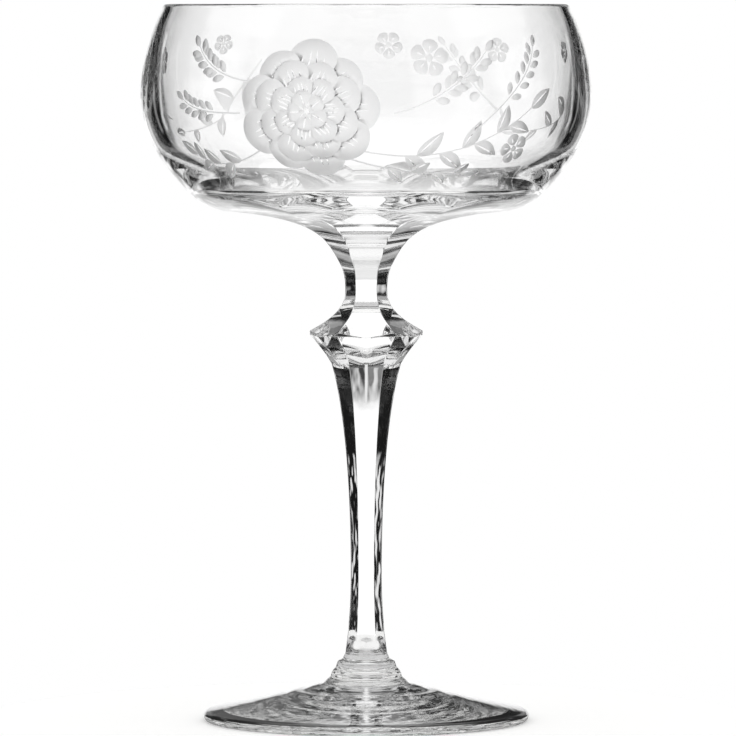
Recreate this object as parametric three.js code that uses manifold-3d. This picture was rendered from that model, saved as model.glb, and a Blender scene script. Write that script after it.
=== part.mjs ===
// Cut crystal cocktail glass: a wide saucer bowl on a six-sided stem with a sharp knop, on a round foot.
// It is made of four gathers of glass, fused one onto the next at flat faces: foot, shaft, knop and bowl.
// Millimetres, +Z up. The origin is the middle of the foot, on the surface that the glass stands on.
// The cut stem has six faces. One of them looks towards -Y, so its corners lie on the X axis.
import * as THREE from "three";
import { mergeVertices } from "three/addons/utils/BufferGeometryUtils.js";
import Module from "manifold-3d";

// The whole glass. The shaft takes up what the other pieces leave of its height.
const GLASS_HEIGHT = 165.0;

// Foot: a round disc, hollowed underneath, that rests on a flat ring and sweeps up into a turned collar
const FOOT_RADIUS = 37.5;
const FOOT_EDGE_THICKNESS = 2.3;
const FOOT_RING_WIDTH = 3.8;
const FOOT_HOLLOW_DEPTH = 1.8;
const FOOT_CROWN_RADIUS = 12.9;
const FOOT_CROWN_HEIGHT = 7.7;
const COLLAR_RADIUS = 8.6;
const COLLAR_SWEEP_HEIGHT = 2.2;
const COLLAR_SHOULDER_RADIUS = 6.5;
const COLLAR_CONE_HEIGHT = 3.7;
const COLLAR_NECK_HEIGHT = 2.4;

// Shaft: the drawn stem, given by the distance from its axis to its corners
const SHAFT_FOOT_RADIUS = 4.75;
const SHAFT_WAIST_RADIUS = 3.55;
const SHAFT_TOP_RADIUS = 8.0;
const SHAFT_BELOW_WAIST = 18.0;
const SHAFT_RUN_OUT = 2.5;
const SHAFT_RIDGE_LENGTH = 24.0;

// Knop: a twelve-sided cone under a sharp girdle, a six-sided cone over it and the neck above
const KNOP_RADIUS = 13.0;
const KNOP_UNDER_HEIGHT = 6.6;
const GIRDLE_THICKNESS = 0.9;
const KNOP_OVER_HEIGHT = 9.5;
const NECK_RADIUS = 4.8;
const NECK_FLARE_HEIGHT = 6.6;
const NECK_TOP_RADIUS = 6.4;

// Bowl: outer sizes, the wall, which is heaviest at its foot and thins towards the rim from a share of its
// length, and the six flutes that are cut into the solid base
const UNDERSIDE_RADIUS = 32.4;
const UNDERSIDE_HEIGHT = 11.4;
const WALL_FOOT_RADIUS = 40.0;
const WALL_FOOT_RISE = 3.6;
const BOWL_RADIUS = 51.8;
const BELLY_RISE = 23.6;
const LIP_RISE = 20.4;
const RIM_RADIUS = 46.9;
const RIM_THICKNESS = 2.0;
const RIM_LEAN = THREE.MathUtils.degToRad(24);
const WALL_THICKNESS = 3.8;
const WALL_FOOT_THICKNESS = 4.6;
const WALL_EVEN_AT = 0.3;
const WALL_THINS_FROM = 0.45;
const FLOOR_THICKNESS = 6.5;
const FLUTE_DEPTH = 1.0;
const FLUTE_ARCH = 5.0;

// The heights of the fused faces and of what lies between them, up from the table and down from the rim
const COLLAR = FOOT_CROWN_HEIGHT + COLLAR_SWEEP_HEIGHT;
const COLLAR_SHOULDER = COLLAR + COLLAR_CONE_HEIGHT;
const FOOT_TOP = COLLAR_SHOULDER + COLLAR_NECK_HEIGHT;
const SHAFT_WAIST = FOOT_TOP + SHAFT_BELOW_WAIST;
const BELLY = GLASS_HEIGHT - LIP_RISE;
const WALL_FOOT = BELLY - BELLY_RISE;
const UNDERSIDE = WALL_FOOT - WALL_FOOT_RISE;
const KNOP_TOP = UNDERSIDE - UNDERSIDE_HEIGHT;
const NECK_WAIST = KNOP_TOP - NECK_FLARE_HEIGHT;
const GIRDLE = NECK_WAIST - KNOP_OVER_HEIGHT;
const GIRDLE_FOOT = GIRDLE - GIRDLE_THICKNESS;
const SHAFT_TOP = GIRDLE_FOOT - KNOP_UNDER_HEIGHT;

// How each stretch of a profile bends: its handles, as shares of the way across and up from start to end
const BENDS = {
  footHollow: [[0.55, 0.1]],
  footTop: [[0.35, 0.26]],
  collarSweep: [[0.81, 0.33]],
  collarNeck: [[0.87, 0.38]],
  belowWaist: [[0.54, 0.28], [1, 0.56]],
  aboveWaist: [[0, 0.37], [0.26, 0.76]],
  knopUnder: [[0.34, 0.44]],
  knopOver: [[0.51, 0.25], [1, 0.48]],
  neckFlare: [[0, 0.45], [0.38, 0.73]],
  underside: [[0.11, 0.46], [0.2, 0.85]],
  shoulder: [[0.66, 0.28]],
  lowerWall: [[0.48, 0.24], [1, 0.53]],
  upperWall: [[0, 0.34]],
  floor: [[0.14, 1]],
};

// How far the ridge along the middle of each face rises, from 0, a flat face, to 1, level with the corners
const SHAFT_TOP_RIDGE = 0.2;
const GIRDLE_RIDGE = 1;

// How the flutes begin and end: the share of their length that is still neck, and how late they run out
const FLUTE_NECK = 0.4;
const FLUTE_FADE = 8;

// How finely the curves are divided
const FACES = 6;
const HALF_FACE = Math.PI / FACES;
const STEPS_PER_FACE = 10;
const ROUND_STEPS = FACES * STEPS_PER_FACE;
const CURVE_STEPS = 6;
const SHAFT_STEPS = 24;
const KNOP_UNDER_STEPS = 12;
const KNOP_OVER_STEPS = 36;
const FLUTE_STEPS = 8;
const WALL_STEPS = 9;
const RIM_STEPS = 6;

const wasm = await Module();
wasm.setup();

const mix = THREE.MathUtils.lerp;
const ease = THREE.MathUtils.smoothstep;
const point = (radius, height) => new THREE.Vector2(radius, height);
const line = (from, to) => new THREE.LineCurve(from, to);

// A length in the profile's plane, turned up by an angle from straight outwards
const leaning = (length, angle) => point(length * Math.cos(angle), length * Math.sin(angle));

// A handle at shares of the way across and up between two points of a profile
const handle = (from, to, [across, up]) => point(mix(from.x, to.x, across), mix(from.y, to.y, up));

// A curved stretch of a profile, with one or two handles
function bend(from, to, shares) {
  const [first, second] = shares.map((share) => handle(from, to, share));
  if (second) return new THREE.CubicBezierCurve(from, first, second, to);
  return new THREE.QuadraticBezierCurve(from, first, to);
}

// Joins stretches end to end into one profile
function profile(...stretches) {
  const path = new THREE.CurvePath();
  for (const stretch of stretches) path.add(stretch);
  return path;
}

// A closed body through sections that go round the axis, from the lowest outside to the last one. Each end
// is closed to a point on the axis.
function skin(sections, firstHeight, lastHeight) {
  const count = sections[0].length;
  const vertices = [];
  for (const section of sections) {
    for (const vertex of section) vertices.push(vertex.x, vertex.y, vertex.z);
  }
  const first = sections.length * count;
  vertices.push(0, 0, firstHeight, 0, 0, lastHeight);
  const triangles = [];
  const top = first - count;
  for (let step = 0; step < count; step += 1) {
    const next = (step + 1) % count;
    triangles.push(first, next, step);
    for (let row = 0; row < top; row += count) {
      triangles.push(row + step, row + next, row + count + next);
      triangles.push(row + step, row + count + next, row + count + step);
    }
    triangles.push(first + 1, top + step, top + next);
  }
  const geometry = new THREE.BufferGeometry();
  geometry.setAttribute("position", new THREE.Float32BufferAttribute(vertices, 3));
  geometry.setIndex(triangles);
  return geometry;
}

// The part of two closed bodies that both of them hold
function intersection(one, other) {
  const [first, second] = [one, other].map((geometry) => {
    const merged = mergeVertices(geometry);
    const vertProperties = merged.attributes.position.array;
    const triVerts = Uint32Array.from(merged.index.array);
    return new wasm.Manifold(new wasm.Mesh({ numProp: 3, vertProperties, triVerts }));
  });
  const mesh = first.intersect(second).getMesh();
  const geometry = new THREE.BufferGeometry();
  geometry.setAttribute("position", new THREE.BufferAttribute(mesh.vertProperties, 3));
  geometry.setIndex(new THREE.BufferAttribute(mesh.triVerts, 1));
  return geometry;
}

// One section of the cut stem. A ridge of 0 leaves the six faces flat, and 1 raises the middle of each to the
// radius of the corners, which makes twelve equal faces.
function cutSection(radius, height, ridge) {
  const middle = mix(radius * Math.cos(HALF_FACE), radius, ridge);
  const section = [];
  for (let half = 0; half < 2 * FACES; half += 1) {
    const reach = half % 2 === 0 ? radius : middle;
    const angle = half * HALF_FACE;
    section.push(new THREE.Vector3(reach * Math.cos(angle), reach * Math.sin(angle), height));
  }
  return section;
}

// A cut length of the stem along a profile, with the ridge that it has at each height
function cutLength(path, steps, ridgeAt) {
  const sections = [];
  for (let step = 0; step <= steps; step += 1) {
    const { x, y } = path.getPoint(step / steps);
    sections.push(cutSection(x, y, ridgeAt(y)));
  }
  return skin(sections, path.getPoint(0).y, path.getPoint(1).y);
}

// The foot: a turned disc with a rounded edge, a shallow hollow under it and a conical collar on it
function foot() {
  const edge = FOOT_EDGE_THICKNESS / 2;
  const ringOuter = FOOT_RADIUS - edge;
  const ringInner = point(ringOuter - FOOT_RING_WIDTH, 0);
  const edgeTop = point(ringOuter, FOOT_EDGE_THICKNESS);
  const crown = point(FOOT_CROWN_RADIUS, FOOT_CROWN_HEIGHT);
  const collar = point(COLLAR_RADIUS, COLLAR);
  const shoulder = point(COLLAR_SHOULDER_RADIUS, COLLAR_SHOULDER);
  const top = point(SHAFT_FOOT_RADIUS, FOOT_TOP);
  const outline = [
    ...bend(point(0, FOOT_HOLLOW_DEPTH), ringInner, BENDS.footHollow).getPoints(CURVE_STEPS),
    ...new THREE.EllipseCurve(ringOuter, edge, edge, edge, -Math.PI / 2, Math.PI / 2).getPoints(CURVE_STEPS),
    ...bend(edgeTop, crown, BENDS.footTop).getPoints(CURVE_STEPS).slice(1),
    ...bend(crown, collar, BENDS.collarSweep).getPoints(CURVE_STEPS).slice(1),
    ...bend(shoulder, top, BENDS.collarNeck).getPoints(CURVE_STEPS),
    point(0, FOOT_TOP),
  ];
  return new THREE.LatheGeometry(outline, ROUND_STEPS).rotateX(Math.PI / 2);
}

// The shaft: six flat faces between the corners. At the foot they run out into the round collar, and near
// the knop a faint ridge rises along the middle of each face.
function shaft() {
  const bottom = point(SHAFT_FOOT_RADIUS, FOOT_TOP);
  const waist = point(SHAFT_WAIST_RADIUS, SHAFT_WAIST);
  const top = point(SHAFT_TOP_RADIUS, SHAFT_TOP);
  const path = profile(bend(bottom, waist, BENDS.belowWaist), bend(waist, top, BENDS.aboveWaist));
  const ridgeAt = (height) => {
    const runOut = 1 - ease(height, FOOT_TOP, FOOT_TOP + SHAFT_RUN_OUT);
    const rise = ease(height, SHAFT_TOP - SHAFT_RIDGE_LENGTH, SHAFT_TOP);
    return Math.max(runOut, rise * SHAFT_TOP_RIDGE);
  };
  return cutLength(path, SHAFT_STEPS, ridgeAt);
}

// The knop: what the cone under the girdle and the neck's own cone both hold. The ridges below meet the flat
// faces above in a girdle that dips in the middle of each face. The neck's cone runs on past the girdle as a
// skirt, wide enough to clear the ridges.
function knop() {
  const bottom = point(SHAFT_TOP_RADIUS, SHAFT_TOP);
  const girdleFoot = point(KNOP_RADIUS, GIRDLE_FOOT);
  const girdle = point(KNOP_RADIUS, GIRDLE);
  const waist = point(NECK_RADIUS, NECK_WAIST);
  const top = point(NECK_TOP_RADIUS, KNOP_TOP);
  const slope = girdle.clone().sub(handle(girdle, waist, BENDS.knopOver[0]));
  const skirt = girdle.clone().add(slope);
  const lower = profile(
    bend(bottom, girdleFoot, BENDS.knopUnder),
    line(girdleFoot, point(KNOP_RADIUS, KNOP_TOP)),
  );
  const upper = profile(
    line(point(skirt.x, SHAFT_TOP), skirt),
    line(skirt, girdle),
    bend(girdle, waist, BENDS.knopOver),
    bend(waist, top, BENDS.neckFlare),
  );
  const ridgeAt = (height) => mix(SHAFT_TOP_RIDGE, GIRDLE_RIDGE, ease(height, SHAFT_TOP, GIRDLE_FOOT));
  return intersection(
    cutLength(lower, KNOP_UNDER_STEPS, ridgeAt),
    cutLength(upper, KNOP_OVER_STEPS, () => 0),
  );
}

// The middle of the rim's rounded edge
const rimMiddle = () => point(RIM_RADIUS - RIM_THICKNESS / 2, GLASS_HEIGHT - RIM_THICKNESS / 2);

// The bowl's outer profile in two lengths: the base, from the fused face up to the wall, and the wall
function bowlProfile() {
  const bottom = point(NECK_TOP_RADIUS, KNOP_TOP);
  const underside = point(UNDERSIDE_RADIUS, UNDERSIDE);
  const wallFoot = point(WALL_FOOT_RADIUS, WALL_FOOT);
  const belly = point(BOWL_RADIUS, BELLY);
  const lip = rimMiddle().add(leaning(RIM_THICKNESS / 2, RIM_LEAN));
  const [upperWall] = BENDS.upperWall;
  const bellyHandle = handle(belly, lip, upperWall);
  const lipHandle = lip.clone().sub(leaning(bellyHandle.y - BELLY, RIM_LEAN + Math.PI / 2));
  const base = profile(
    bend(bottom, underside, BENDS.underside),
    bend(underside, wallFoot, BENDS.shoulder),
  );
  const wall = profile(
    bend(wallFoot, belly, BENDS.lowerWall),
    new THREE.CubicBezierCurve(belly, bellyHandle, lipHandle, lip),
  );
  return { base, wall };
}

// One section of the bowl. A place gives its radius and height for each way across a face, from -1 to 1.
function bowlSection(place) {
  const section = [];
  for (let step = 0; step < ROUND_STEPS; step += 1) {
    const angle = (step * 2 * Math.PI) / ROUND_STEPS;
    const across = ((step % STEPS_PER_FACE) / STEPS_PER_FACE) * 2 - 1;
    const { x, y } = place(across);
    section.push(new THREE.Vector3(x * Math.cos(angle), x * Math.sin(angle), y));
  }
  return section;
}

// The bowl: fluted under the shoulder, round above it, with a rounded rim and a flat-bottomed hollow
function bowl() {
  const { base, wall } = bowlProfile();
  const outer = profile(...base.curves, ...wall.curves);
  const length = outer.getLength();
  const baseLength = base.getLength();
  const crown = (across) => 1 - across * across;
  const archEnd = (across) => baseLength + FLUTE_ARCH * (crown(across) - 0.5);
  const sections = [];
  for (let step = 0; step <= FLUTE_STEPS; step += 1) {
    const share = step / FLUTE_STEPS;
    const round = ease(share, 0, FLUTE_NECK);
    const depth = FLUTE_DEPTH * round * (1 - share ** FLUTE_FADE);
    sections.push(bowlSection((across) => {
      const reach = (archEnd(across) * share) / length;
      const spot = outer.getPoint(reach);
      const tangent = outer.getTangent(reach);
      const flat = Math.cos(HALF_FACE) / Math.cos(across * HALF_FACE);
      const cut = depth * crown(across);
      return point(spot.x * mix(flat, 1, round) - tangent.y * cut, spot.y + tangent.x * cut);
    }));
  }
  for (let step = 1; step <= WALL_STEPS; step += 1) {
    const share = step / WALL_STEPS;
    sections.push(bowlSection((across) => outer.getPoint(mix(archEnd(across) / length, 1, share))));
  }
  for (let step = 1; step < RIM_STEPS; step += 1) {
    const angle = RIM_LEAN + (Math.PI * step) / RIM_STEPS;
    const spot = rimMiddle().add(leaning(RIM_THICKNESS / 2, angle));
    sections.push(bowlSection(() => spot));
  }
  for (let step = WALL_STEPS; step >= 0; step -= 1) {
    const share = step / WALL_STEPS;
    const tangent = wall.getTangent(share);
    const thin = mix(WALL_THICKNESS, RIM_THICKNESS, ease(share, WALL_THINS_FROM, 1));
    const inside = mix(WALL_FOOT_THICKNESS, thin, ease(share, 0, WALL_EVEN_AT));
    const spot = wall.getPoint(share).add(point(-tangent.y, tangent.x).multiplyScalar(inside));
    sections.push(bowlSection(() => spot));
  }
  const floorMiddle = point(0, UNDERSIDE + FLOOR_THICKNESS);
  const floorEdge = point(sections.at(-1)[0].x, sections.at(-1)[0].z);
  const floor = bend(floorEdge, floorMiddle, BENDS.floor).getPoints(CURVE_STEPS);
  for (const spot of floor.slice(1, -1)) sections.push(bowlSection(() => spot));
  return skin(sections, KNOP_TOP, floorMiddle.y);
}

// Clear colourless lead crystal, fire polished on the bowl and foot and cut on the stem
function crystal() {
  return new THREE.MeshStandardMaterial({
    color: 0xf1f4f4, roughness: 0.04, metalness: 0, transparent: true, opacity: 0.35,
  });
}

const glass = new THREE.Group();
for (const [name, geometry] of Object.entries({ foot: foot(), shaft: shaft(), knop: knop(), bowl: bowl() })) {
  const piece = new THREE.Mesh(geometry, crystal());
  piece.name = name;
  glass.add(piece);
}

export default glass;
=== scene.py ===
"""Looks of the cut crystal cocktail glass: bowl, knop, shaft and foot in clear glass, on a pale floor.

Lengths in this file are millimetres until MM turns them into Blender's metres. +Z is up, the foot stands on
z = 0, and one cut face of the six-sided stem looks towards -Y, as in the CAD.
"""

import math

import bpy
import numpy as np
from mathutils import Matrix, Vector
from mathutils.geometry import delaunay_2d_cdt


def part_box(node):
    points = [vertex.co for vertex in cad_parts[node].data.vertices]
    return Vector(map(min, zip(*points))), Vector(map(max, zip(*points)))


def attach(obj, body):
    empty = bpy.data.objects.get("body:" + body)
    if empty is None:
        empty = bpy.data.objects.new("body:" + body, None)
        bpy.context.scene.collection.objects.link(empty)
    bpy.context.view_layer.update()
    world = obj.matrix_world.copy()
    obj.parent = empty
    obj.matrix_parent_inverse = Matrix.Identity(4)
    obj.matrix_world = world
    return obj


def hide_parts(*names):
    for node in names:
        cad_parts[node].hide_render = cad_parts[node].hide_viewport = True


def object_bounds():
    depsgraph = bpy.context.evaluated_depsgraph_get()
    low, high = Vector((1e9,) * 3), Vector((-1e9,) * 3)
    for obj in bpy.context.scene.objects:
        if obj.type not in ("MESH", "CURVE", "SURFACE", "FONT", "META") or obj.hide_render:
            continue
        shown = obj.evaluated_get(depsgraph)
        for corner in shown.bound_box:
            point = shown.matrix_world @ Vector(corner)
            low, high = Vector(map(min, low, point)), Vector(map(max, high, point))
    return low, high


bl_info = {
    "name": "Crystal cocktail glass",
    "version": (1, 0, 0),
    "blender": (4, 5, 0),
    "location": "3D View > Sidebar > Glass",
    "description": "Builds the glass's four pieces and its studio around the packed CAD frame",
    "category": "Object",
}

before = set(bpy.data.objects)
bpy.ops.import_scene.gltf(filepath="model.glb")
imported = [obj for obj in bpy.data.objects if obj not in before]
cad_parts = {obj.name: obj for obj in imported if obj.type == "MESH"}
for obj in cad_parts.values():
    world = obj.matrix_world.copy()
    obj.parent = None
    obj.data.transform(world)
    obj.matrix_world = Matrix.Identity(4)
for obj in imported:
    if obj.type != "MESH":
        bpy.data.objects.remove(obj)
CAD_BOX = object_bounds()

MM = 0.001
FACES = 6
HALF_FACE = math.pi / FACES

# Heights at which the stem is joined or turns, and its radius there
FOOT_TOP, FOOT_TOP_RADIUS = 16.0, 4.75
SHAFT_WAIST, SHAFT_WAIST_RADIUS = 34.0, 3.55
SHAFT_TOP, SHAFT_TOP_RADIUS = 82.4, 8.0
GIRDLE_FOOT, GIRDLE = 89.0, 89.9
NECK_WAIST, NECK_WAIST_RADIUS = 99.4, 4.8
KNOP_TOP, KNOP_TOP_RADIUS = 106.0, 6.4

# How each stretch of a profile bends: handles, as shares of the way across and up from its start to its end
BENDS = {
    "foot hollow": [(0.55, 0.1)],
    "foot top": [(0.35, 0.26)],
    "collar sweep": [(0.81, 0.33)],
    "collar neck": [(0.87, 0.38)],
    "below waist": [(0.54, 0.28), (1, 0.56)],
    "above waist": [(0, 0.37), (0.26, 0.76)],
    "knop under": [(0.34, 0.44)],
    "knop over": [(0.51, 0.25), (1, 0.48)],
    "neck flare": [(0, 0.45), (0.38, 0.73)],
    "underside": [(0.11, 0.46), (0.2, 0.85)],
    "shoulder": [(0.66, 0.28)],
    "lower wall": [(0.48, 0.24), (1, 0.53)],
    "floor": [(0.14, 1)],
}


def bezier(handles, count):
    """Points of a Bezier stretch, at even steps of its parameter."""
    share = np.linspace(0, 1, count + 1)[:, None]
    points = [np.asarray(handle, float)[None] for handle in handles]
    while len(points) > 1:
        points = [one + (other - one) * share for one, other in zip(points, points[1:])]
    return points[0]


def bend(start, end, name, count):
    """Points of a named stretch of a profile, from start to end."""
    start, end = np.array(start, float), np.array(end, float)
    handles = [start + (end - start) * share for share in BENDS[name]]
    return bezier([start, *handles, end], count)


def joined(*stretches):
    """One line of points through stretches that meet end to end."""
    return np.concatenate([stretches[0], *(stretch[1:] for stretch in stretches[1:])])


def ease(value, low, high):
    """Smooth step from 0 at low to 1 at high."""
    share = np.clip((value - low) / (high - low), 0, 1)
    return share * share * (3 - 2 * share)


def linear(code):
    """Linear colour of an sRGB hex value."""
    channels = [int(code[place:place + 2], 16) / 255 for place in (1, 3, 5)]
    return [c / 12.92 if c <= 0.04045 else ((c + 0.055) / 1.055) ** 2.4 for c in channels] + [1.0]


def add_node(tree, kind, settings=None, values=None, links=None):
    """Adds one node: its settings, its inputs' values, and links to them from sockets or whole nodes."""
    node = tree.nodes.new(kind)
    for name, value in (settings or {}).items():
        setattr(node, name, value)
    for socket, value in (values or {}).items():
        node.inputs[socket].default_value = value
    for socket, source in (links or {}).items():
        output = source if isinstance(source, bpy.types.NodeSocket) else source.outputs[0]
        tree.links.new(output, node.inputs[socket])
    return node


# Setting of a Map Range node that eases in and out
SMOOTH = {"interpolation_type": "SMOOTHSTEP"}


def new_material(name):
    """An empty node material and its tree."""
    material = bpy.data.materials.new(name)
    material.use_nodes = True
    tree = material.node_tree
    tree.nodes.clear()
    return material, tree


def fused_joint():
    """Two gathers fused while hot: no surface is left between them, so light goes straight through."""
    known = bpy.data.materials.get("fused_glass_joint")
    if known:
        return known
    material, tree = new_material("fused_glass_joint")
    shader = add_node(tree, "ShaderNodeBsdfPrincipled", values={
        "Base Color": (1, 1, 1, 1), "Roughness": 0.0, "Alpha": 0.0})
    add_node(tree, "ShaderNodeOutputMaterial", links={"Surface": shader})
    return material


def show_crystal(tree, roughness, bump):
    """Lead crystal on a material's surface: clear, and more refractive than window glass."""
    tint = linear(bpy.context.scene.glass_looks.crystal_tint)
    shader = add_node(tree, "ShaderNodeBsdfPrincipled", values={
        "Base Color": tint, "Roughness": roughness, "IOR": 1.545, "Transmission Weight": 1.0},
        links={"Normal": bump})
    add_node(tree, "ShaderNodeOutputMaterial", links={"Surface": shader})


def lead_crystal(name, wave, swirl=None):
    """Polished lead crystal: colourless, mirror smooth, and so refractive that its edges go dark.

    Hand cutting and fire polishing leave a faint wave that bends what is seen through, given by its height
    and its length along X, Y and Z. A swirl is what the turning of a hot foot leaves: its height, the
    length of its waves outwards, how many there are to a turn, how far it turns in each millimetre outwards,
    and how far out it starts.
    """
    material, tree = new_material(name)
    place = add_node(tree, "ShaderNodeTexCoord")
    height, lengths = wave
    spread = add_node(tree, "ShaderNodeMapping", values={
        "Scale": [1 / (length * MM) for length in lengths]}, links={"Vector": place.outputs["Object"]})
    noise = add_node(tree, "ShaderNodeTexNoise", values={"Scale": 1.0, "Detail": 1.0},
                     links={"Vector": spread})
    surface = add_node(tree, "ShaderNodeBump", values={"Strength": 1.0, "Distance": height * MM},
                       links={"Height": noise.outputs["Fac"]})
    if swirl:
        height, length, count, twist, start = swirl
        flat = add_node(tree, "ShaderNodeVectorMath", {"operation": "MULTIPLY"}, {1: (1, 1, 0)}, {
            0: place.outputs["Object"]})
        reach = add_node(tree, "ShaderNodeVectorMath", {"operation": "LENGTH"}, links={0: flat})
        way = add_node(tree, "ShaderNodeVectorMath", {"operation": "NORMALIZE"}, links={0: flat})
        angle = add_node(tree, "ShaderNodeMath", {"operation": "MULTIPLY"}, {1: twist / MM}, {
            0: reach.outputs["Value"]})
        turned_way = add_node(tree, "ShaderNodeVectorRotate", {"rotation_type": "Z_AXIS"}, links={
            "Vector": way, "Angle": angle})
        round_axis = add_node(tree, "ShaderNodeVectorMath", {"operation": "SCALE"}, {"Scale": count / 6}, {
            0: turned_way})
        outwards = add_node(tree, "ShaderNodeMath", {"operation": "MULTIPLY"}, {1: 1 / (length * MM)}, {
            0: reach.outputs["Value"]})
        rise = add_node(tree, "ShaderNodeCombineXYZ", links={"Z": outwards})
        spot = add_node(tree, "ShaderNodeVectorMath", {"operation": "ADD"}, links={
            0: round_axis, 1: rise})
        noise = add_node(tree, "ShaderNodeTexNoise", values={
            "Scale": 1.0, "Detail": 2.0, "Distortion": 0.6}, links={"Vector": spot})
        clear_of_collar = add_node(tree, "ShaderNodeMapRange", SMOOTH, {
            "From Min": start * MM, "From Max": 1.5 * start * MM}, {"Value": reach.outputs["Value"]})
        swell = add_node(tree, "ShaderNodeMath", {"operation": "MULTIPLY"}, links={
            0: noise.outputs["Fac"], 1: clear_of_collar})
        surface = add_node(tree, "ShaderNodeBump", values={
            "Strength": 1.0, "Distance": height * MM}, links={
            "Height": swell, "Normal": surface})
    show_crystal(tree, 0.0, surface)
    return material


def surface_normals(grid):
    """Normals of a block of rows that go round the axis, from the neighbours of each point."""
    around = np.roll(grid, -1, 1) - np.roll(grid, 1, 1)
    along = np.gradient(grid, axis=0)
    normals = np.cross(around, along)
    return normals / np.maximum(np.linalg.norm(normals, axis=2, keepdims=True), 1e-12)


def new_object(name, points, faces, corners, kinds, materials):
    """A mesh object with its own normals at the corners of its faces; without them a face is flat."""
    mesh = bpy.data.meshes.new(name)
    mesh.from_pydata((np.asarray(points) * MM).tolist(), [], faces)
    for material in materials:
        mesh.materials.append(material)
    mesh.polygons.foreach_set("material_index", kinds)
    mesh.polygons.foreach_set("use_smooth", [True] * len(faces))
    normals = []
    for polygon, own in zip(mesh.polygons, corners):
        normals.extend([polygon.normal[:]] * polygon.loop_total if own is None else own)
    mesh.normals_split_custom_set(normals)
    mesh.update()
    piece = bpy.data.objects.new(name, mesh)
    bpy.context.scene.collection.objects.link(piece)
    return piece


def strips(rows, count, first=0):
    """Faces of a block of rows that each have count points and close round the axis."""
    faces = []
    for row in range(rows - 1):
        for step in range(count):
            here, beside = row * count + step + first, row * count + (step + 1) % count + first
            faces.append((here, beside, beside + count, here + count))
    return faces


def install(piece, node):
    """Puts a finished piece in the place of its CAD node."""
    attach(piece, "root")
    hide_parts(node)


class GlassSizes(bpy.types.PropertyGroup):
    """Sizes of the glass, in the CAD's own terms."""
    height: bpy.props.FloatProperty(
        name="Height", description="Height of the whole glass", default=CAD_BOX[1][2], unit="LENGTH")
    foot_radius: bpy.props.FloatProperty(
        name="Foot radius", description="Radius of the foot's edge", default=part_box("foot")[1][0],
        unit="LENGTH")
    bowl_radius: bpy.props.FloatProperty(
        name="Bowl radius", description="Radius of the bowl's belly", default=CAD_BOX[1][1], unit="LENGTH")
    knop_radius: bpy.props.FloatProperty(
        name="Knop radius", description="Radius of the knop's corners", default=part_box("knop")[1][0],
        unit="LENGTH")


class StudioLooks(bpy.types.PropertyGroup):
    """Light of the studio and colours of the glass."""
    floor_colour: bpy.props.StringProperty(
        name="Floor", description="Colour of the floor, as an sRGB hex value", default="#EBEBEA")
    crystal_tint: bpy.props.StringProperty(
        name="Crystal", description="Tint of the clear glass, as an sRGB hex value", default="#FCFCFC")
    ceiling: bpy.props.FloatProperty(
        name="Ceiling", description="Elevation at which the ceiling is fully lit", default=math.radians(66),
        subtype="ANGLE")


class Line:
    """A profile that is read by the length along it."""

    def __init__(self, points):
        self.points = points
        steps = np.linalg.norm(np.diff(points, axis=0), axis=1)
        self.along = np.concatenate([[0], np.cumsum(steps)])
        self.length = self.along[-1]
        tangents = np.gradient(points, self.along, axis=0)
        self.tangents = tangents / np.linalg.norm(tangents, axis=1, keepdims=True)

    def read(self, lengths):
        """Radius, height, and the outward normal's radius and height, at those lengths."""
        lengths = np.asarray(lengths, float)
        radius, height = (np.interp(lengths, self.along, self.points[:, axis]) for axis in (0, 1))
        right, up = (np.interp(lengths, self.along, self.tangents[:, axis]) for axis in (0, 1))
        return radius, height, up, -right


# The foot's rounded edge, the width of the ring that it stands on, and the height of the hollow inside that
FOOT_EDGE, FOOT_RING, FOOT_HOLLOW = 1.15, 3.8, 1.8
# Radius and height where the collar starts, where it bends upwards and where it narrows to the shaft
COLLAR_FOOT, COLLAR_BEND, COLLAR_SHOULDER = (12.9, 7.7), (8.6, 9.9), (6.5, 13.6)
# How far from the shaft, along the surface, the points lie close enough for the ridges
RIDGED_LENGTH = 15
# Height and spacing of the ridges turned on the collar, and of the wider rings round it
RIDGE_HEIGHT, RIDGE_SPACING = 0.11, 2.5
RING_HEIGHT, RING_SPACING = 0.12, 5
FOOT_COLUMNS = 192


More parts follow.
